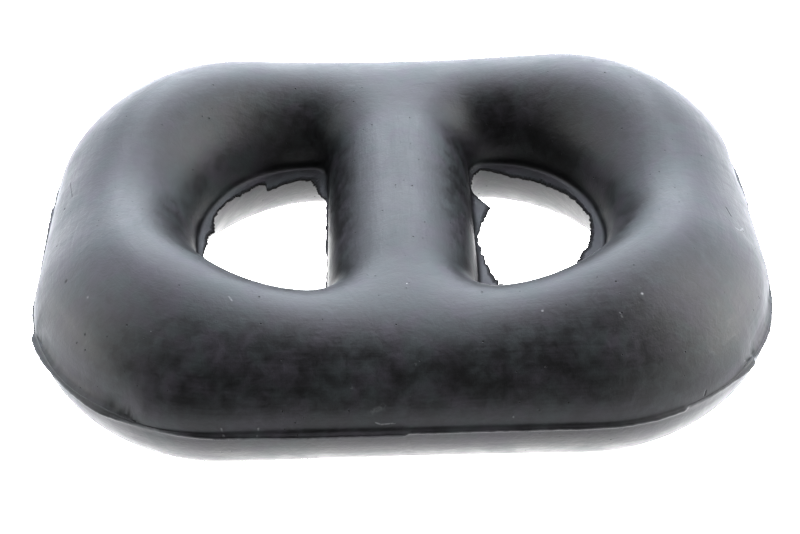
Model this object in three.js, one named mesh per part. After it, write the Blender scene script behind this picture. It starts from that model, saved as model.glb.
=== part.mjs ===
// Exhaust hanger rubber: a thick moulded ring with a cross bar, which leaves two D-shaped eyes for hook rods.
// Millimetres. X runs along the ring, Y across it and Z through its thickness. The origin is the middle of the
// bar on the parting plane, where the two halves of the mould met. The lower half is like the upper one, and a
// little deeper.
import * as THREE from 'three';
import { mergeVertices } from 'three/addons/utils/BufferGeometryUtils.js';

// Outline of the ring on the parting plane
const ringLength = 69.4;
const ringWidth = 53.8;
const ringCornerRadius = 18.7;

// The two eyes on the parting plane: a straight side along the bar, then half an ellipse towards the end arm
const barWidth = 14.4;
const eyeLength = 12.95;
const eyeHeight = 24.3;
const eyeRoundLength = 10.75;
const eyeCornerRadius = 2;

// Section of the arms: their crest above and below the parting plane, and how fully the walls round into it.
// The arms swell towards the ring's corners, more above than below, and leave a shallow valley across the middle
// of each arm.
const crestAbove = 7.2;
const crestBelow = 8.15;
const wallBlend = 1.74;
const swellAbove = 0.41;
const swellBelow = 0.14;
const swellReach = 10.3;
const swellInset = 17.4;
const valleyRadius = 3;
const middleBlend = 6;

// Mould flash: its thickness, the least width left of it, and its plain width where nothing shows its edge
const flashThickness = 0.4;
const flashLeast = 0.08;
const flashWidth = 0.4;

// Width of the flash round each outline, as [turn in degrees, width]. The turn is counted about the middle of
// the eye, from the end arm, and grows towards the back. The flash is torn, so its edge is uneven.
const rimFlash = {
  right: [
    [-90, 0.4], [-78, 0.35], [-69, 0.6], [-52, 0.2], [-46, 0.4], [-38, 0.15], [-25, 0.4], [0, 0.5], [28, 0.5],
    [32, 0.2],
  ],
  left: [
    [-100, 0.65], [-82, 0.4], [-72, 0.2], [-60, 0.2], [-55, 0.6], [-34, 0.6], [-31, 0.1], [-26, 0.35], [0, 0.5],
    [20, 0.5],
  ],
};
const eyeFlash = {
  right: [
    [-119, 2.2], [-130, 1.4], [-151, 0.8], [-175, 0.3], [180, 0.3], [135, 2], [132, 0.2], [113, 1.1], [82, 1.4],
    [47, 1], [10, 1.3], [-12, 1.6], [-45, 2.2], [-60, 0.6], [-110, 0.6],
  ],
  left: [
    [-120, 0.4], [-170, 0.3], [170, 0.2], [136, 0.2], [124, 1.1], [112, 1.8], [101, 2.2], [97, 0.7], [92, 0.8],
    [87, 1.3], [77, 1.3], [59, 1.2], [33, 0.9], [5, 0.6], [-14, 0.4],
  ],
};

// Fineness of the surface
const turnSteps = 60;
const barSteps = 20;
const sectionSteps = 13;

const halfLength = ringLength / 2;
const halfWidth = ringWidth / 2;
const halfBar = barWidth / 2;
const eyeRoundStart = halfBar + eyeLength - eyeRoundLength;
const sideArmWidth = (ringWidth - eyeHeight) / 2;
const eyeMiddle = halfBar + eyeLength / 2;
const cornerTurn = Math.atan2(halfWidth, -eyeMiddle);
const nearZero = 1e-4;
const farAway = ringLength;

// Distance from a middle line, rounded where it changes side, so that crests cross the middle smoothly
function softDistance(v) {
  const distance = Math.abs(v);
  return distance < middleBlend ? middleBlend / 2 + (distance * distance) / (2 * middleBlend) : distance;
}

// How far inside the ring's outline a point lies: the outline is a rectangle with round corners
function depthInRing(x, y) {
  const pastX = softDistance(x) - (halfLength - ringCornerRadius);
  const pastY = softDistance(y) - (halfWidth - ringCornerRadius);
  const roundPart = Math.hypot(Math.max(pastX, 0), Math.max(pastY, 0));
  return ringCornerRadius - roundPart - Math.min(Math.max(pastX, pastY), 0);
}

// How far from an eye a point lies, negative inside it. The side is 1 for the right eye and -1 for the left.
function distanceFromEye(x, y, side) {
  const along = Math.max(x * side - eyeRoundStart, 0) / eyeRoundLength;
  const across = y / (eyeHeight / 2);
  const ratio = Math.hypot(along, across);
  const slope = Math.hypot(along / eyeRoundLength, across / (eyeHeight / 2));
  const reach = ratio > nearZero ? ratio / slope : eyeHeight / 2;
  const pastEllipse = (ratio - 1) * reach + eyeCornerRadius;
  const pastBar = halfBar + eyeCornerRadius - x * side;
  const roundPart = Math.hypot(Math.max(pastEllipse, 0), Math.max(pastBar, 0));
  return roundPart + Math.min(Math.max(pastEllipse, pastBar), 0) - eyeCornerRadius;
}

// Height of the rubber over a point of the plan, as a share of the crest. It rises from each wall as a round
// section does, by the blended distance to the outline and to both eyes.
function fullness(x, y) {
  const share = (distance) => Math.max(distance, nearZero) ** -wallBlend;
  const walls = share(depthInRing(x, y)) + share(distanceFromEye(x, y, -1)) + share(distanceFromEye(x, y, 1));
  const room = (2 / walls) ** (1 / wallBlend);
  return Math.sqrt(room / (sideArmWidth / 2));
}

// How much of the corners' swelling a point has: 1 at its middle, dying away round it
function swelling(x, y) {
  const alongX = Math.hypot(x, valleyRadius) - (halfLength - swellInset);
  const alongY = Math.hypot(y, valleyRadius) - (halfWidth - swellInset);
  return Math.exp(-((Math.hypot(alongX, alongY) / swellReach) ** 2));
}

// Where a value that rises along a line reaches a level, by halving
function crossing(value, level, end) {
  let low = 0;
  let high = end;
  for (let step = 0; step < 44; step += 1) {
    const middle = (low + high) / 2;
    if (value(middle) < level) low = middle;
    else high = middle;
  }
  return (low + high) / 2;
}

// Width of a torn edge at a turn, straight between the places that its list gives
function tornWidth(places, turn) {
  const degrees = THREE.MathUtils.radToDeg(turn);
  const sorted = [...places].sort((a, b) => a[0] - b[0]);
  const after = sorted.findIndex((place) => place[0] >= degrees);
  if (after <= 0) return flashWidth;
  const [startTurn, startWidth] = sorted[after - 1];
  const [endTurn, endWidth] = sorted[after];
  const share = (degrees - startTurn) / (endTurn - startTurn);
  return Math.max(THREE.MathUtils.lerp(startWidth, endWidth, share), flashLeast);
}

// The direction straight out of the ring's outline at a point
function outOfRing(x, y) {
  const reach = 0.01;
  const alongX = depthInRing(x - reach, y) - depthInRing(x + reach, y);
  const alongY = depthInRing(x, y - reach) - depthInRing(x, y + reach);
  return new THREE.Vector2(alongX, alongY).normalize();
}

// One line of places across an arm, from the flash in the eye to the flash on the rim, each with its point above
// and below the parting plane. On the bar it ends on the middle line, where the other side's line meets it.
function armLine(side, turn) {
  const sideName = side > 0 ? 'right' : 'left';
  const at = (reach) => [eyeMiddle + reach * Math.cos(turn), reach * Math.sin(turn)];
  const intoArm = (reach) => distanceFromEye(...at(reach), 1);
  const pastRim = (reach) => -depthInRing(...at(reach));
  const onBar = Math.abs(turn) > cornerTurn + nearZero;
  const eyeWall = crossing(intoArm, 0, farAway);
  const endWall = onBar ? -eyeMiddle / Math.cos(turn) : crossing(pastRim, 0, farAway);
  const eyeTip = crossing(intoArm, -tornWidth(eyeFlash[sideName], turn), eyeWall);

  const above = [];
  const below = [];
  const add = ([x, y], share) => {
    const swell = swelling(x, y);
    const up = crestAbove * (1 + swellAbove * swell) * share;
    const down = crestBelow * (1 + swellBelow * swell) * share;
    above.push(new THREE.Vector3(x * side, y, Math.max(up, flashThickness / 2)));
    below.push(new THREE.Vector3(x * side, y, -Math.max(down, flashThickness / 2)));
  };
  add(at(eyeTip), 0);
  for (let step = 0; step <= sectionSteps; step += 1) {
    const share = (1 - Math.cos((Math.PI * step) / sectionSteps)) / 2;
    const place = at(THREE.MathUtils.lerp(eyeWall, endWall, share));
    add(place, fullness(...place));
  }
  if (!onBar) {
    const wall = at(endWall);
    const out = outOfRing(...wall).multiplyScalar(tornWidth(rimFlash[sideName], turn));
    add([wall[0] + out.x, wall[1] + out.y], 0);
  }
  return { onBar, above, below };
}

// The turns at which lines are laid: evenly round the arms, then down the bar, closer together at its two ends
function lineTurns() {
  const turns = [];
  for (let step = 0; step < turnSteps; step += 1) {
    turns.push(-cornerTurn + (2 * cornerTurn * step) / turnSteps);
  }
  for (let step = 0; step < barSteps; step += 1) {
    turns.push(Math.atan2(halfWidth * Math.cos((Math.PI * step) / barSteps), -eyeMiddle));
  }
  return turns;
}

// The skin between neighbouring lines, above and below, with the thin edges of the flash. Each patch is split
// along its shorter diagonal.
function hangerGeometry() {
  const corners = [];
  for (const side of [1, -1]) {
    const patch = (a, b, c, d) => {
      const halves = a.distanceTo(c) < b.distanceTo(d) ? [a, b, c, a, c, d] : [a, b, d, b, c, d];
      corners.push(...(side > 0 ? halves : halves.reverse()));
    };
    const lines = lineTurns().map((turn) => armLine(side, turn));
    lines.forEach((line, number) => {
      const next = lines[(number + 1) % lines.length];
      const last = Math.min(line.above.length, next.above.length) - 1;
      for (let place = 0; place < last; place += 1) {
        patch(line.above[place], line.above[place + 1], next.above[place + 1], next.above[place]);
        patch(next.below[place], next.below[place + 1], line.below[place + 1], line.below[place]);
      }
      patch(line.above[0], next.above[0], next.below[0], line.below[0]);
      if (!line.onBar && !next.onBar) {
        patch(next.above[last], line.above[last], line.below[last], next.below[last]);
      }
    });
  }
  const geometry = mergeVertices(new THREE.BufferGeometry().setFromPoints(corners), nearZero);
  geometry.computeVertexNormals();
  return geometry;
}

const blackRubber = new THREE.MeshStandardMaterial({ color: 0x2a2c2e, roughness: 0.5, metalness: 0 });

const hangerRubber = new THREE.Mesh(hangerGeometry(), blackRubber);
hangerRubber.name = 'hanger_rubber';

const exhaustHanger = new THREE.Group();
exhaustHanger.add(hangerRubber);

export default exhaustHanger;
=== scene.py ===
"""Exhaust hanger rubber, dressed: the moulded body at full fineness with its torn flash, in satin
black rubber.

Everything is in metres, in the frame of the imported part: X along the ring, Y across it, Z through
its thickness, with the origin in the middle of the bar on the parting plane.
"""
import math

import bpy
import numpy as np

from mathutils import Matrix


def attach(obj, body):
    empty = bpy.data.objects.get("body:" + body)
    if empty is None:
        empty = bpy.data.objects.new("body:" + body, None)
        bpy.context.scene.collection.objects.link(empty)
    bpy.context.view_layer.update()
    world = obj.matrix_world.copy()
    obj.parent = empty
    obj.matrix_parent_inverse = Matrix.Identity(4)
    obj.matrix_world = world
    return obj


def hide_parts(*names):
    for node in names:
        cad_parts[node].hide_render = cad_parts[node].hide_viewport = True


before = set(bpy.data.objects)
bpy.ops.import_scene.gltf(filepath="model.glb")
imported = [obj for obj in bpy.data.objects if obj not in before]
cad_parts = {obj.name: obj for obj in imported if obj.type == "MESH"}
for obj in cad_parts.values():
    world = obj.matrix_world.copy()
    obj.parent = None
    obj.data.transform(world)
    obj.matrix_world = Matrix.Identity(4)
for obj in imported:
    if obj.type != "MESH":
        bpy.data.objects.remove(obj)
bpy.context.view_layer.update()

MM = 0.001

# Outline of the ring on the parting plane
RING_LENGTH = 69.4 * MM
RING_WIDTH = 53.8 * MM
RING_CORNER_RADIUS = 18.7 * MM

# The two eyes on the parting plane: a straight side along the bar, then half an ellipse
BAR_WIDTH = 14.4 * MM
EYE_LENGTH = 12.95 * MM
EYE_HEIGHT = 24.3 * MM
EYE_ROUND_LENGTH = 10.75 * MM
EYE_CORNER_RADIUS = 2 * MM

# Section of the arms: crest heights, how fully the walls round into them, the swelling of the
# corners, and the valleys across the arms' middles
CREST_ABOVE = 7.2 * MM
CREST_BELOW = 8.15 * MM
WALL_BLEND = 1.74
SWELL_ABOVE = 0.41
SWELL_BELOW = 0.14
SWELL_REACH = 10.3 * MM
SWELL_INSET = 17.4 * MM
VALLEY_RADIUS = 3 * MM
MIDDLE_BLEND = 6 * MM

# Mould flash: thickness at its root and at its edge, the least width left, and the width that it
# has where the two halves of the skin meet
FLASH_ROOT = 0.4 * MM
FLASH_EDGE = 0.16 * MM
FLASH_LEAST = 0.06 * MM
FLASH_WIDTH = 0.4 * MM

# Radius of the fillet between wall and flash, width of the rough band along the torn edge, and the
# most that each takes of the flash's width
FLASH_FILLET = 0.5 * MM
FILLET_SHARE = 0.75
TORN_BAND = 0.5 * MM
BAND_SHARE = 0.6

# Fine teeth along the torn edges: their height, the waves that make up the coarse and the fine
# ones, their seeds, and how rough the rim's edge is beside the eyes' edges
EYE_TEETH = 0.08 * MM
RIM_TEETH = 0.025 * MM
COARSE_WAVES = 70
FINE_WAVES = 240
EYE_SEED = 11
RIM_SEED = 31
RIM_WEAR = 0.15

# Width of the flash in millimetres at a turn in degrees about the middle of the eye. The turn
# grows from the end arm to the back. The right half is 1 and the left half is -1.
RIM_FLASH = {
    1: [(-90, 0.4), (-78, 0.35), (-67.5, 0.3), (-66.8, 0.06), (-55, 0.15), (-48, 0.5), (-47.2, 0.1),
        (-39, 0.2), (-32, 0.1), (-24, 0.1), (-15, 0.35), (-13, 0.2), (-3, 0.3), (9, 0.25),
        (9.8, 0.45), (16, 0.45), (30, 0.3), (32, 0.2), (60, 0.4)],
    -1: [(-100, 0.65), (-82, 0.4), (-72, 0.1), (-68, 0.1), (-60, 0.4), (-54, 0.25), (-48, 0.2),
         (-42, 0.35), (-34, 0.57), (-31.5, 0.15), (-26, 0.25), (-10, 0.33), (5, 0.5), (16, 0.6),
         (17.5, 0.45), (22, 0.45), (60, 0.4)],
}
EYE_FLASH = {
    1: [(-180, 0.32), (-159, 0.56), (-142, 0.97), (-130, 1.38), (-118, 2.3), (-110, 0.6),
        (-72, 0.6), (-60, 2.25), (-42, 2.25), (-22, 1.7), (0, 1.4), (15, 1.15), (28, 0.87),
        (40, 1.04), (54, 1.07), (68, 1.3), (78, 1.6), (88, 1.7), (100, 2.0), (109, 1.4),
        (113, 0.9), (128, 0.16), (131, 0.27), (132.2, 1.03), (135, 1.97), (145, 1.47),
        (163, 0.8), (171, 0.7), (180, 0.32)],
    -1: [(-180, 0.2), (-164, 0.28), (-158, 0.1), (-135, 0.1), (-120, 0.4), (-14, 0.7), (-2, 1.05),
         (11, 0.93), (19, 1.45), (30, 1.25), (36, 0.85), (49, 0.7), (59, 0.72), (71, 1.0),
         (79, 1.15), (85, 0.96), (90, 1.5), (90.6, 2.3), (97, 2.4), (102, 2.2), (108, 1.8),
         (113, 2.1), (119, 1.4), (128, 0.8), (134, 0.26), (170, 0.2)],
}

# How far the upper wall stands back from the outline, in millimetres at a turn in degrees. There a
# slope leads from the flash up to the wall.
WALL_INSET = {
    1: [(-52, 0), (-44, 0.5), (-30, 0.5), (-22, 0), (8, 0), (12, 0.5), (22, 0.5), (31, 0)],
    -1: [(-70, 0), (-60, 1.0), (-54, 1.1), (-48, 1.0), (-41, 0.6), (-34, 0)],
}
INSET_FADE = 1 * MM
INSET_START = 0.4 * MM
INSET_SLOPE = 0.8

# Fineness of the skin
TURN_STEPS = 410
BAR_STEPS = 76
SECTION_STEPS = 38
FILLET_STEPS = 3
FLASH_PLACES = FILLET_STEPS + 2

HALF_LENGTH = RING_LENGTH / 2
HALF_WIDTH = RING_WIDTH / 2
HALF_BAR = BAR_WIDTH / 2
EYE_ROUND_START = HALF_BAR + EYE_LENGTH - EYE_ROUND_LENGTH
SIDE_ARM_WIDTH = (RING_WIDTH - EYE_HEIGHT) / 2
EYE_MIDDLE = HALF_BAR + EYE_LENGTH / 2
CORNER_TURN = math.atan2(HALF_WIDTH, -EYE_MIDDLE)

# Working limits: points closer than this are one point, the least turn, ratio and slope that count,
# how far apart a slope is measured, and how often a span is halved
NEAR_ZERO = 1e-7
TURN_SLACK = 1e-6
LEAST_RATIO = 1e-4
LEAST_SLOPE = 1e-12
NUDGE = 0.01 * MM
HALVINGS = 44

# Radius of the circle that stands for the ring's length in the grain, steps down the section on the
# middle line, and where the bar's own grain fades out across and along the bar
GRAIN_RADIUS = 24 * MM
MIDDLE_STEPS = 400
FADE_ACROSS_BAR = (HALF_BAR + 0.6 * MM, HALF_BAR + 3 * MM)
FADE_ALONG_BAR = (9 * MM, 14 * MM)

# Faces that meet at more than this angle keep a sharp edge between them
SHARP_ANGLE = math.radians(42)

# The photograph's view of the part
VIEW_TURN = math.radians(-0.78)
VIEW_HEIGHT = math.radians(39.0)
VIEW_ROLL = math.radians(-0.96)
VIEW_DISTANCE = 160.2 * MM
VIEW_AIM = (-0.21 * MM, -4.48 * MM, 0)
VIEW_LENS = 74.57
VIEW_SENSOR = 36
VIEW_NEAREST = 5 * MM
VIEW_GAMMA = 0.667

# Tones of the rubber: plain, under the two tints of its bloom, torn, in its light specks and in its
# pale marks
RUBBER_DARK = (0.0045, 0.0045, 0.0048, 1)
COOL_BLOOM = (0.0185, 0.0225, 0.023, 1)
WARM_BLOOM = (0.0215, 0.0195, 0.024, 1)
TORN_TONE = (0.002, 0.002, 0.002, 1)
SPECK_TONE = (0.14, 0.14, 0.135, 1)
MARK_TONE = (0.12, 0.12, 0.12, 1)

# Shares of clouds and streaks in the bloom, the sums where it starts and is full, and the clouds'
# values where its tint starts to change from cool to warm and has changed
BLOOM_PARTS = {"patches": 0.5, "mottle": 0.35, "streaks": 0.15}
BLOOM_RANGE = (0.36, 0.66)
HUE_RANGE = (0.4, 0.6)

# How far the lumps break up the torn edges, and the sums where an edge's roughness starts and is full
TORN_LUMPS = 0.8
TORN_RANGE = (0.55, 0.85)

# Roughness of plain rubber, and what each of its features adds to it
PLAIN_ROUGHNESS = 0.385
ADDED_ROUGHNESS = {"bloom": 0.12, "streaks": 0.12, "pits": 0.25, "torn edge": 0.4, "dark marks": 0.3}
RUBBER_SHINE = 0.42

# How high each feature stands in the relief, in millimetres
RELIEF = {"mottle": 0.035, "streaks": 0.014, "fine grain": 0.01, "pits": -0.04, "dark marks": -0.05,
          "pale marks": 0.02, "torn lumps": 0.15}

# Dots: the least radius that is added to the random part, and the share of a dot that has its full
# strength. Marks: the same share of a mark's half width, and where the fine grain breaks up the
# pale ones.
DOT_LEAST = 0.3
DOT_CORE = 0.5
MARK_CORE = 0.1
BROKEN_RANGE = (0.3, 0.6)

# Marks that the real part carries: each is a path through places in millimetres, its half width and
# its strength. The pale ones are scratches, nicks and specks, the dark ones scratches and spots.
PALE_MARKS = [
    (((-2.8, -26.8, 1.0), (-2.4, -26.9, 0.8), (-1.2, -26.9, 0.9)), 0.14, 0.6),
    (((-3.2, -26.6, 2.0), (-2.1, -26.4, 2.5)), 0.4, 0.2),
    (((-16.1, -26.9, 0.8), (-15.9, -27.2, 0.2)), 0.16, 0.6),
    (((-12.9, -26.9, 0.7), (-13.0, -27.3, 0.2)), 0.16, 0.6),
    (((30.9, -7.9, 6.4), (31.4, -7.9, 6.1), (31.9, -7.0, 5.6)), 0.16, 0.5),
    (((18.4, -21.1, 7.8), (18.6, -21.4, 7.5)), 0.14, 0.4),
    (((-15.3, -18.6, 8.6), (-15.0, -19.0, 8.5)), 0.14, 0.5),
    (((20.5, -19.4, 8.4),), 0.2, 1.0),
    (((-28.0, -16.2, 6.9),), 0.22, 0.6),
    (((11.8, -20.5, 7.7),), 0.18, 0.8),
    (((0.7, -24.2, 5.2),), 0.2, 0.3),
    (((-4.8, -25.5, 3.9),), 0.2, 0.35),
    (((9.0, -26.8, 1.2),), 0.16, 0.5),
]
DARK_MARKS = [
    (((30.5, -5.1, 6.7), (30.8, -6.2, 6.5)), 0.16, 0.6),
    (((26.1, -23.9, 0.9), (26.0, -24.0, 0.5)), 0.18, 0.8),
    (((-32.4, 3.7, 5.1), (-31.7, 0.5, 5.7)), 0.1, 0.6),
    (((-32.4, -0.5, 5.0),), 0.22, 1.0),
    (((-30.4, -13.1, 6.3),), 0.3, 0.7),
]

# The floor: half its size, its tone and roughness, its glow far from the part and under it, how far
# the brighter patch reaches, and where in its reach it fades
FLOOR_REACH = 3.0
FLOOR_TONE = (0.8, 0.8, 0.8, 1)
FLOOR_ROUGHNESS = 0.9
GLOW_PLAIN = 1.0
GLOW_UNDER = 5.6
GLOW_REACH = (41 * MM, 33 * MM)
GLOW_FADE = (0.4, 1.4)

# The room's light, how far the soft boxes stand from the part, and the boxes: turn from the front
# towards +X, height above the floor, width and height as they are seen from the part, all in
# degrees, then brightness and colour
ROOM_LIGHT = 0.02
WHITE = (1, 1, 1, 1)
BOX_DISTANCE = 0.8
SOFT_BOXES = {
    "back_box": (180, 34, 45, 60, 8.4, (0.94, 1, 1.07)),
    "back_right_box": (135, 32, 45, 64, 4.8, (0.95, 1, 1.1)),
    "back_left_box": (225, 32, 45, 64, 4.8, (0.95, 1, 1.1)),
    "right_low_box": (90, 8, 45, 16, 14.5, (1, 1, 0.98)),
    "left_low_box": (270, 8, 45, 16, 11, (1, 1, 0.98)),
    "right_box": (90, 40, 38, 48, 9, (1, 1, 1)),
    "front_right_box": (40, 14, 40, 28, 3.6, (1, 1, 1)),
    "left_box": (270, 40, 38, 48, 4.6, (1, 1, 1)),
    "top_box": (180, 78, 45, 28, 6.8, (1.0, 0.97, 1.08)),
}


def soft_distance(v):
    """Distance from a middle line, with a parabola in place of the sharp turn at the line."""
    away = np.abs(v)
    return np.where(away < MIDDLE_BLEND, MIDDLE_BLEND / 2 + away**2 / (2 * MIDDLE_BLEND), away)


def depth_in_ring(x, y):
    """Depth of a point inside a rectangle with round corners: positive inside, negative outside."""
    past_x = soft_distance(x) - (HALF_LENGTH - RING_CORNER_RADIUS)
    past_y = soft_distance(y) - (HALF_WIDTH - RING_CORNER_RADIUS)
    round_part = np.hypot(np.maximum(past_x, 0), np.maximum(past_y, 0))
    return RING_CORNER_RADIUS - round_part - np.minimum(np.maximum(past_x, past_y), 0)


def distance_from_eye(x, y, side):
    """Distance of a point from a D, negative inside it. The D is half an ellipse and a straight
    side, with rounded corners between them."""
    along = np.maximum(x * side - EYE_ROUND_START, 0) / EYE_ROUND_LENGTH
    across = y / (EYE_HEIGHT / 2)
    ratio = np.hypot(along, across)
    slope = np.hypot(along / EYE_ROUND_LENGTH, across / (EYE_HEIGHT / 2))
    reach = np.where(ratio > LEAST_RATIO, ratio / np.maximum(slope, LEAST_SLOPE), EYE_HEIGHT / 2)
    past_ellipse = (ratio - 1) * reach + EYE_CORNER_RADIUS
    past_bar = HALF_BAR + EYE_CORNER_RADIUS - x * side
    round_part = np.hypot(np.maximum(past_ellipse, 0), np.maximum(past_bar, 0))
    return round_part + np.minimum(np.maximum(past_ellipse, past_bar), 0) - EYE_CORNER_RADIUS


def fullness(x, y, inset=0):
    """Height over the plan as a share of the crest: the root of the blended distance to all three
    walls, which is the power mean of the distances, as a share of half the arm's width. An inset
    moves the outer wall inwards, and dies away with the depth from it."""
    def share(distance):
        return (np.maximum(distance, NEAR_ZERO) / MM) ** -WALL_BLEND

    depth = depth_in_ring(x, y)
    depth = depth - inset * np.exp(-((depth / INSET_FADE) ** 2))
    eyes = share(distance_from_eye(x, y, -1)) + share(distance_from_eye(x, y, 1))
    room = (2 / (share(depth) + eyes)) ** (1 / WALL_BLEND) * MM
    return np.sqrt(room / (SIDE_ARM_WIDTH / 2))


def swelling(x, y):
    """Share of the corners' swelling: a bell over the distance to the nearest corner's middle, with
    x and y taken as hypotenuses with the valley's radius, so that the arms' middles keep a round
    valley."""
    along_x = np.hypot(x, VALLEY_RADIUS) - (HALF_LENGTH - SWELL_INSET)
    along_y = np.hypot(y, VALLEY_RADIUS) - (HALF_WIDTH - SWELL_INSET)
    return np.exp(-((np.hypot(along_x, along_y) / SWELL_REACH) ** 2))


def arm_heights(x, y, least, inset):
    """Heights of the skin above and below the parting plane: the hypotenuse of the swollen section
    and the least height, which rounds the foot of the wall. Where the upper wall stands back, it
    and the slope in front of it join as the fourth root of the sum of their fourth powers."""
    swell = swelling(x, y)
    above = np.hypot(CREST_ABOVE * (1 + SWELL_ABOVE * swell) * fullness(x, y, inset), least)
    below = np.hypot(CREST_BELOW * (1 + SWELL_BELOW * swell) * fullness(x, y), least)
    slope = least + INSET_SLOPE * np.minimum(depth_in_ring(x, y), inset)
    slope = slope * np.minimum(inset / INSET_START, 1)
    return (above**4 + slope**4) ** 0.25, below


def crossing(value, level, end):
    """Where a value that rises along each line reaches a level, by halving all lines at once."""
    low = np.zeros_like(end)
    high = end.copy()
    for _ in range(HALVINGS):
        middle = (low + high) / 2
        short = value(middle) < level
        low = np.where(short, middle, low)
        high = np.where(short, high, middle)
    return (low + high) / 2


def wave_noise(turn, count, seed):
    """A smooth random line round a closed turn: a sum of sine waves of random phase and height,
    over its own spread."""
    draw = np.random.default_rng(seed)
    waves = np.arange(count // 4, count)
    phases = draw.uniform(0, 2 * np.pi, len(waves))
    heights = draw.normal(0, 1, len(waves))
    line = (heights[:, None] * np.sin(waves[:, None] * turn[None] + phases[:, None])).sum(0)
    return line / np.sqrt((heights**2).sum() / 2)


def torn_width(places, turn, seed, teeth_height):
    """Width of a torn edge: straight between its listed places, with fine random teeth added."""
    turns = [-180.0] + [place[0] for place in places] + [180.0]
    widths = [places[0][1]] + [place[1] for place in places] + [places[-1][1]]
    width = np.interp(np.degrees(turn), turns, widths) * MM
    teeth = (wave_noise(turn, COARSE_WAVES, seed) + wave_noise(turn, FINE_WAVES, seed + 1)) / 2
    return np.maximum(width + teeth_height * teeth, FLASH_LEAST)


def flash_section(width, radius):
    """Section of a flash, as distances from the wall and heights: a quarter circle down from the
    wall, then a straight taper to the inner side of the torn band and on to the tip."""
    arc = np.radians(90 * np.arange(1, FILLET_STEPS + 1) / FILLET_STEPS)
    away = radius[:, None] * (1 - np.cos(arc))
    rise = FLASH_ROOT / 2 + radius[:, None] * (1 - np.sin(arc))
    plain = width - radius
    band = np.minimum(TORN_BAND, BAND_SHARE * plain)
    band_rise = FLASH_EDGE / 2 + (FLASH_ROOT - FLASH_EDGE) / 2 * band / plain
    tip_rise = np.full_like(width, FLASH_EDGE / 2)
    away = np.column_stack([away, width - band, width])
    return away, np.column_stack([rise, band_rise, tip_rise])


def out_of_ring(x, y):
    """The unit direction straight out of the ring's outline: the way in which the depth falls."""
    out_x = depth_in_ring(x - NUDGE, y) - depth_in_ring(x + NUDGE, y)
    out_y = depth_in_ring(x, y - NUDGE) - depth_in_ring(x, y + NUDGE)
    size = np.maximum(np.hypot(out_x, out_y), LEAST_SLOPE)
    return out_x / size, out_y / size


def line_turns():
    """Turns of the lines about an eye's middle: even round the arms, then spaced as a cosine down
    the bar, closer at its two ends."""
    arms = -CORNER_TURN + 2 * CORNER_TURN * np.arange(TURN_STEPS) / TURN_STEPS
    down_bar = HALF_WIDTH * np.cos(np.pi * np.arange(BAR_STEPS) / BAR_STEPS)
    bar = np.arctan2(down_bar, np.full(BAR_STEPS, -EYE_MIDDLE))
    return np.concatenate([arms, bar])


def skin_half(side):
    """Points of one half of the skin, above and below, each as a grid of turn by place on a line.

    A line starts at the tip of the flash in the eye and goes over the arm to the tip of the flash
    on the rim. On the bar it ends on the middle line, and its last places are left out of the
    faces. The places over the arm are spaced as a cosine, closer at its walls. Returns both grids
    and which lines are on the bar."""
    turn = line_turns()
    cos, sin = np.cos(turn), np.sin(turn)

    def at(reach):
        return EYE_MIDDLE + reach * cos, reach * sin

    def into_arm(reach):
        return distance_from_eye(*at(reach), 1)

    def past_rim(reach):
        return -depth_in_ring(*at(reach))

    far = np.full_like(turn, RING_LENGTH)
    on_bar = np.abs(turn) > CORNER_TURN + TURN_SLACK
    at_middle = np.abs(np.abs(turn) - CORNER_TURN) < TURN_SLACK
    eye_flash = torn_width(EYE_FLASH[side], turn, EYE_SEED + side, EYE_TEETH)
    rim_flash = torn_width(RIM_FLASH[side], turn, RIM_SEED + side, RIM_TEETH)
    rim_flash = np.where(on_bar | at_middle, FLASH_WIDTH, rim_flash)
    inset = np.interp(np.degrees(turn), *zip(*WALL_INSET[side])) * MM

    eye_wall = crossing(into_arm, 0, far)
    rim_wall = crossing(past_rim, 0, far)
    end_wall = np.where(on_bar, -EYE_MIDDLE / np.where(on_bar, cos, -1), rim_wall)
    share = (1 - np.cos(np.pi * np.arange(SECTION_STEPS + 1) / SECTION_STEPS)) / 2
    reach = eye_wall[:, None] + share[None] * (end_wall - eye_wall)[:, None]
    x = EYE_MIDDLE + reach * cos[:, None]
    y = reach * sin[:, None]
    eye_fillet = np.minimum(FLASH_FILLET, FILLET_SHARE * eye_flash)
    rim_fillet = np.minimum(FLASH_FILLET, FILLET_SHARE * rim_flash)
    fillet = eye_fillet[:, None] + share[None] * (rim_fillet - eye_fillet)[:, None]
    upper, lower = arm_heights(x, y, FLASH_ROOT / 2 + fillet, inset[:, None])

    eye_away, eye_rise = flash_section(eye_flash, eye_fillet)
    eye_reach = [crossing(into_arm, -away, eye_wall) for away in eye_away.T]
    eye_x, eye_y = at(np.array(eye_reach))
    rim_away, rim_rise = flash_section(rim_flash, rim_fillet)
    wall_x, wall_y = at(end_wall)
    out_x, out_y = out_of_ring(wall_x, wall_y)
    rim_x = wall_x[:, None] + out_x[:, None] * rim_away
    rim_y = wall_y[:, None] + out_y[:, None] * rim_away

    x = np.column_stack([eye_x.T[:, ::-1], x, rim_x])
    y = np.column_stack([eye_y.T[:, ::-1], y, rim_y])
    upper = np.column_stack([eye_rise[:, ::-1], upper, rim_rise])
    lower = np.column_stack([eye_rise[:, ::-1], lower, rim_rise])
    above = np.stack([x * side, y, upper], axis=-1)
    below = np.stack([x * side, y, -lower], axis=-1)
    return above, below, on_bar


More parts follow.
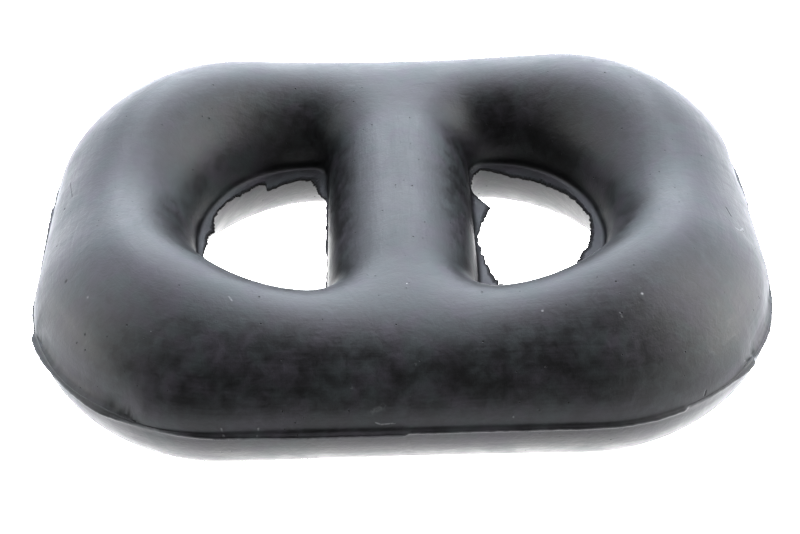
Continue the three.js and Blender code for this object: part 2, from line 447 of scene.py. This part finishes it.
def way_from_rim(skin, on_bar):
    """Length along each line from the rim to its points. A line of the bar starts on the middle
    line, so the length over the section on that line, from the rim to there, is added to it."""
    steps = np.linalg.norm(np.diff(skin, axis=1), axis=-1)
    steps[on_bar, -FLASH_PLACES:] = 0
    way = np.cumsum(steps[:, ::-1], axis=1)[:, ::-1]
    way = np.column_stack([way, np.zeros(len(way))])
    across = np.linspace(HALF_WIDTH, 0, MIDDLE_STEPS)
    rise = CREST_ABOVE * fullness(np.zeros_like(across), across)
    over = np.concatenate([[0], np.cumsum(np.hypot(np.diff(across), np.diff(rise)))])
    reached = np.interp(np.abs(skin[:, -1 - FLASH_PLACES, 1]), across[::-1], over[::-1])
    return way + np.where(on_bar, reached, 0)[:, None]


def hanger_skin():
    """The whole closed skin: both halves' grids, with the points that they share on the middle line
    made one. Each point has its grain, which is its place along the ring on a circle and its way
    from the rim, and how torn it is."""
    points, faces, grain, torn = [], [], [], []
    start = 0
    for side in (1, -1):
        above, below, on_bar = skin_half(side)
        lines, places = above.shape[:2]
        upper = start + np.arange(lines * places).reshape(lines, places)
        lower = upper + lines * places
        start += 2 * lines * places
        for skin, sign in ((above, 1), (below, -1)):
            around = np.arctan2(skin[..., 1] / HALF_WIDTH, skin[..., 0] / HALF_LENGTH)
            circle = GRAIN_RADIUS * np.cos(around), GRAIN_RADIUS * np.sin(around)
            way = sign * way_from_rim(skin, on_bar)
            grain.append(np.stack([*circle, way], axis=-1).reshape(-1, 3))
            points.append(skin.reshape(-1, 3))
            edge = np.zeros((lines, places))
            edge[:, 0], edge[:, -1] = 1, RIM_WEAR
            torn.append(edge.ravel())

        def quads(a, b, c, d, keep):
            order = (a, b, c, d) if side > 0 else (a, d, c, b)
            return np.stack([corner[keep] for corner in order], axis=-1).reshape(-1, 4)

        next_upper, next_lower = np.roll(upper, -1, axis=0), np.roll(lower, -1, axis=0)
        everywhere = np.ones(lines, bool)
        rim_here = ~(on_bar | np.roll(on_bar, -1))
        kept = np.ones((lines, places - 1), bool)
        kept[:, -FLASH_PLACES:] = rim_here[:, None]
        faces.append(quads(upper[:, :-1], upper[:, 1:], next_upper[:, 1:], next_upper[:, :-1], kept))
        faces.append(quads(next_lower[:, :-1], next_lower[:, 1:], lower[:, 1:], lower[:, :-1], kept))
        faces.append(quads(upper[:, 0], next_upper[:, 0], next_lower[:, 0], lower[:, 0], everywhere))
        faces.append(quads(next_upper[:, -1], upper[:, -1], lower[:, -1], next_lower[:, -1], rim_here))
    points, faces, grain, torn = (np.concatenate(part) for part in (points, faces, grain, torn))
    cells = np.round(points / NEAR_ZERO).astype(np.int64)
    _, first, same = np.unique(cells, axis=0, return_index=True, return_inverse=True)
    faces = same.reshape(-1)[faces]
    used = np.unique(faces)
    renumber = np.full(len(first), -1)
    renumber[used] = np.arange(len(used))
    return points[first][used], renumber[faces], grain[first][used], torn[first][used]


def share_of_bar(points):
    """1 on the bar, falling to 0 across its walls and along it into the side arms: the product of
    two ramps, each three times its square less twice its cube."""
    def ramp(distance, start, end):
        share = np.clip((end - distance) / (end - start), 0, 1)
        return share * share * (3 - 2 * share)

    across = ramp(np.abs(points[:, 0]), *FADE_ACROSS_BAR)
    return across * ramp(np.abs(points[:, 1]), *FADE_ALONG_BAR)


def make_piece(name, points, faces, material):
    """A mesh object at the origin, smooth except where faces meet at a sharp angle."""
    mesh = bpy.data.meshes.new(name)
    mesh.from_pydata(points, [], faces.tolist())
    mesh.validate()
    mesh.update()
    mesh.shade_smooth()
    mesh.set_sharp_from_angle(angle=SHARP_ANGLE)
    mesh.materials.append(material)
    piece = bpy.data.objects.new(name, mesh)
    bpy.context.scene.collection.objects.link(piece)
    return piece


def new_material(name):
    """A material, with its node tree and its main shader."""
    material = bpy.data.materials.new(name)
    material.use_nodes = True
    return material, material.node_tree, material.node_tree.nodes["Principled BSDF"]


def add_node(tree, kind, settings=None, inputs=None):
    """A shader node of a kind, with its settings, and with its inputs set to values or joined to
    other nodes' outputs."""
    node = tree.nodes.new("ShaderNode" + kind)
    for name, value in (settings or {}).items():
        setattr(node, name, value)
    for name, value in (inputs or {}).items():
        if isinstance(value, bpy.types.NodeSocket):
            tree.links.new(value, node.inputs[name])
        else:
            node.inputs[name].default_value = value
    return node


def arithmetic(tree, operation, *values, clamp=False):
    """The output of a Math node on up to three values."""
    settings = {"operation": operation, "use_clamp": clamp}
    return add_node(tree, "Math", settings, dict(enumerate(values))).outputs[0]


def vector_arithmetic(tree, operation, output, *values):
    """An output of a Vector Math node on one or two vectors."""
    settings = {"operation": operation}
    return add_node(tree, "VectorMath", settings, dict(enumerate(values))).outputs[output]


def attribute(tree, name, output):
    """An output of one of the mesh's own attributes."""
    return add_node(tree, "Attribute", {"attribute_name": name}).outputs[output]


def blend(tree, share, first, second):
    """A value between two others, by a share."""
    return add_node(tree, "Mix", {"data_type": "FLOAT"}, {0: share, 2: first, 3: second}).outputs[0]


def tint(tree, share, first, second):
    """A colour between two others, by a share."""
    return add_node(tree, "Mix", {"data_type": "RGBA"}, {0: share, 6: first, 7: second}).outputs[2]


def spread(tree, value, low, high, to_low=0.0, to_high=1.0):
    """A value taken smoothly from one range to another, and held at the range's ends."""
    limits = {"Value": value, "From Min": low, "From Max": high, "To Min": to_low, "To Max": to_high}
    return add_node(tree, "MapRange", {"interpolation_type": "SMOOTHSTEP"}, limits).outputs[0]


def stretched(tree, place, x, y, z):
    """A place with each coordinate multiplied by its own factor."""
    return vector_arithmetic(tree, "MULTIPLY", 0, place, (x, y, z))


def clouds(tree, place, scale, detail, rough=0.55, twist=0.0):
    """Fractal noise between 0 and 1, about 0.5."""
    inputs = {"Vector": place, "Scale": scale, "Detail": detail, "Roughness": rough,
              "Distortion": twist}
    return add_node(tree, "TexNoise", {}, inputs).outputs[0]


def dots(tree, place, per_mm, size, kept):
    """Round dots of random size, one at most in each Voronoi cell, and in only a share of the
    cells: 1 at a dot's middle and 0 outside it. The size is in parts of a cell."""
    cells = add_node(tree, "TexVoronoi", {"feature": "F1"}, {"Vector": place, "Scale": per_mm})
    draw = add_node(tree, "SeparateColor", {}, {0: cells.outputs["Color"]})
    radius = arithmetic(tree, "MULTIPLY", arithmetic(tree, "ADD", draw.outputs[1], DOT_LEAST), size)
    off = arithmetic(tree, "DIVIDE", cells.outputs["Distance"], radius)
    has_dot = arithmetic(tree, "LESS_THAN", draw.outputs[0], kept)
    return arithmetic(tree, "MULTIPLY", spread(tree, off, 1.0, DOT_CORE), has_dot)


def near_marks(tree, place, marks):
    """The strength of the marks: each mark's own on its path, falling to 0 at the half width, by
    the distance to the nearest point of the path. The strongest mark counts."""
    strongest = 0.0
    for path, half_width, strength in marks:
        for start, end in zip(path[:-1] or path, path[1:] or path):
            along = np.subtract(end, start)
            per_length = tuple(along / (along @ along or 1.0))
            way = vector_arithmetic(tree, "SUBTRACT", 0, place, start)
            part = vector_arithmetic(tree, "DOT_PRODUCT", "Value", way, per_length)
            part = arithmetic(tree, "ADD", part, 0.0, clamp=True)
            inputs = {0: tuple(along), "Scale": part}
            foot = add_node(tree, "VectorMath", {"operation": "SCALE"}, inputs).outputs[0]
            off = vector_arithmetic(tree, "DISTANCE", "Value", way, foot)
            mark = spread(tree, off, half_width, MARK_CORE * half_width, to_high=strength)
            strongest = arithmetic(tree, "MAXIMUM", strongest, mark)
    return strongest


def features_added(tree, plain, amounts, features):
    """A plain value, plus each feature times its own amount."""
    total = plain
    for name, amount in amounts.items():
        total = arithmetic(tree, "MULTIPLY_ADD", features[name], amount, total)
    return total


def black_rubber():
    """Satin black rubber: fine streaks along the arms and the bar, cloudy bloom, small pits, light
    specks, dark torn edges, and the pale and dark marks that the lists give. They change its tone,
    its roughness and its relief."""
    material, tree, shader = new_material("satin_black_rubber")
    metres = add_node(tree, "TexCoord").outputs["Object"]
    place = stretched(tree, metres, 1 / MM, 1 / MM, 1 / MM)
    grain = stretched(tree, attribute(tree, "grain", "Vector"), 1 / MM, 1 / MM, 1 / MM)
    on_bar = attribute(tree, "on_bar", "Fac")
    torn = attribute(tree, "torn", "Fac")

    def streaks(length, width, detail):
        """Clouds drawn out along the grain of the arms and, on the bar, along the bar."""
        along, across = 1 / length, 1 / width
        arms = clouds(tree, stretched(tree, grain, along, along, across), 1, detail)
        bar = clouds(tree, stretched(tree, place, across, along, across), 1, detail)
        return blend(tree, on_bar, arms, bar)

    long_streaks = streaks(length=9.0, width=0.55, detail=3)
    fine_streaks = streaks(length=3.0, width=0.2, detail=2)
    patches = clouds(tree, place, scale=0.17, detail=3, rough=0.55, twist=0.6)
    mottle = clouds(tree, place, scale=0.8, detail=3, rough=0.6, twist=0.4)
    hues = clouds(tree, place, scale=0.3, detail=2, rough=0.5, twist=0.4)
    fine_grain = clouds(tree, place, scale=4.0, detail=2)
    pits = dots(tree, place, per_mm=1.1, size=0.1, kept=0.5)
    specks = dots(tree, place, per_mm=0.5, size=0.035, kept=0.16)
    lumps = clouds(tree, place, scale=3.0, detail=3)
    ragged = arithmetic(tree, "MULTIPLY_ADD", lumps, TORN_LUMPS, torn)
    torn_edge = arithmetic(tree, "MULTIPLY", torn, spread(tree, ragged, *TORN_RANGE))
    pale_marks = near_marks(tree, place, PALE_MARKS)
    dark_marks = near_marks(tree, place, DARK_MARKS)

    features = {
        "streaks": blend(tree, 0.5, long_streaks, fine_streaks), "patches": patches,
        "mottle": mottle, "fine grain": fine_grain, "pits": pits, "torn edge": torn_edge,
        "torn lumps": arithmetic(tree, "MULTIPLY", torn_edge, mottle),
        "dark marks": dark_marks, "pale marks": pale_marks,
    }
    bloom = spread(tree, features_added(tree, 0.0, BLOOM_PARTS, features), *BLOOM_RANGE)
    features["bloom"] = bloom

    bloom_tone = tint(tree, spread(tree, hues, *HUE_RANGE), COOL_BLOOM, WARM_BLOOM)
    tone = tint(tree, bloom, RUBBER_DARK, bloom_tone)
    tone = tint(tree, pits, tone, TORN_TONE)
    tone = tint(tree, torn_edge, tone, TORN_TONE)
    tone = tint(tree, specks, tone, SPECK_TONE)
    broken = spread(tree, fine_grain, *BROKEN_RANGE)
    tone = tint(tree, arithmetic(tree, "MULTIPLY", pale_marks, broken), tone, MARK_TONE)
    tone = tint(tree, dark_marks, tone, TORN_TONE)
    roughness = features_added(tree, PLAIN_ROUGHNESS, ADDED_ROUGHNESS, features)
    relief = features_added(tree, 0.0, RELIEF, features)
    bump = add_node(tree, "Bump", {}, {"Height": relief, "Strength": 1.0, "Distance": MM})
    tree.links.new(tone, shader.inputs["Base Color"])
    tree.links.new(roughness, shader.inputs["Roughness"])
    tree.links.new(bump.outputs[0], shader.inputs["Normal"])
    shader.inputs["Specular IOR Level"].default_value = RUBBER_SHINE
    return material


def pale_floor(level):
    """A large white floor at the part's lowest point, lit from below like a light table: it glows
    evenly, and more strongly in a soft, rounded square patch under the part. The patch fades by the
    root of the sum of the fourth powers of x and y over its reach."""
    corners = [(-1, -1), (1, -1), (1, 1), (-1, 1)]
    points = np.array([(x * FLOOR_REACH, y * FLOOR_REACH, level) for x, y in corners])
    material, tree, shader = new_material("pale_floor")
    shader.inputs["Base Color"].default_value = FLOOR_TONE
    shader.inputs["Roughness"].default_value = FLOOR_ROUGHNESS
    shader.inputs["Emission Color"].default_value = WHITE
    place = add_node(tree, "TexCoord").outputs["Object"]
    patch = stretched(tree, place, 1 / GLOW_REACH[0], 1 / GLOW_REACH[1], 0)
    squares = vector_arithmetic(tree, "MULTIPLY", 0, patch, patch)
    reach = vector_arithmetic(tree, "LENGTH", "Value", squares)
    glow = spread(tree, reach, *GLOW_FADE, GLOW_UNDER, GLOW_PLAIN)
    tree.links.new(glow, shader.inputs["Emission Strength"])
    floor = make_piece("floor", points, np.array([(0, 1, 2, 3)]), material)


def direction(turn, height):
    """The unit direction at a turn from the front towards +X and at a height above the floor."""
    level = math.cos(height)
    return np.array((math.sin(turn) * level, -math.cos(turn) * level, math.sin(height)))


def facing(place, back, roll=0.0):
    """The matrix of a lamp or camera at a place, with its back to a direction. Its right side is
    level and its upper side upright, then both are turned by the roll."""
    level = np.cross((0, 0, 1), back)
    level = level / np.linalg.norm(level)
    upright = np.cross(back, level)
    right = level * math.cos(roll) + upright * math.sin(roll)
    up = upright * math.cos(roll) - level * math.sin(roll)
    matrix = np.eye(4)
    matrix[:3] = np.column_stack([right, up, back, place])
    return Matrix(matrix.tolist())


def studio_light():
    """A dim room, with soft boxes all round the part's back half and a faint one at its front
    right, so that its front walls stay dark. Each box faces the part, and its power is its
    brightness times its area and pi."""
    world = bpy.data.worlds.new("room")
    world.use_nodes = True
    world.node_tree.nodes["Background"].inputs["Color"].default_value = WHITE
    world.node_tree.nodes["Background"].inputs["Strength"].default_value = ROOM_LIGHT
    bpy.context.scene.world = world
    for name, (*angles, brightness, colour) in SOFT_BOXES.items():
        turn, height, wide, high = np.radians(angles)
        back = direction(turn, height)
        lamp = bpy.data.lights.new(name, "AREA")
        lamp.shape = "RECTANGLE"
        lamp.size = 2 * BOX_DISTANCE * math.tan(wide / 2)
        lamp.size_y = 2 * BOX_DISTANCE * math.tan(high / 2)
        lamp.energy = brightness * math.pi * lamp.size * lamp.size_y
        lamp.color = colour
        box = bpy.data.objects.new(name, lamp)
        box.matrix_world = facing(BOX_DISTANCE * back, back)
        box.visible_camera = False
        bpy.context.scene.collection.objects.link(box)


def photo_camera():
    """A camera at the photograph's turn, height, roll and lens."""
    lens = bpy.data.cameras.new("camera")
    lens.sensor_fit = "HORIZONTAL"
    lens.sensor_width = VIEW_SENSOR
    lens.lens = VIEW_LENS
    lens.clip_start = VIEW_NEAREST
    back = direction(VIEW_TURN, VIEW_HEIGHT)
    camera = bpy.data.objects.new("camera", lens)
    camera.matrix_world = facing(np.array(VIEW_AIM) + back * VIEW_DISTANCE, back, VIEW_ROLL)
    bpy.context.scene.collection.objects.link(camera)
    bpy.context.scene.camera = camera
    bpy.context.scene.view_settings.view_transform = "Standard"
    bpy.context.scene.view_settings.gamma = VIEW_GAMMA


points, faces, grain, torn = hanger_skin()
hanger = make_piece("hanger_body", points, faces, black_rubber())
attributes = hanger.data.attributes
attributes.new("grain", "FLOAT_VECTOR", "POINT").data.foreach_set("vector", grain.ravel())
attributes.new("on_bar", "FLOAT", "POINT").data.foreach_set("value", share_of_bar(points))
attributes.new("torn", "FLOAT", "POINT").data.foreach_set("value", torn)
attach(hanger, "root")
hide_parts("hanger_rubber")

pale_floor(float(points[:, 2].min()))
studio_light()
photo_camera()
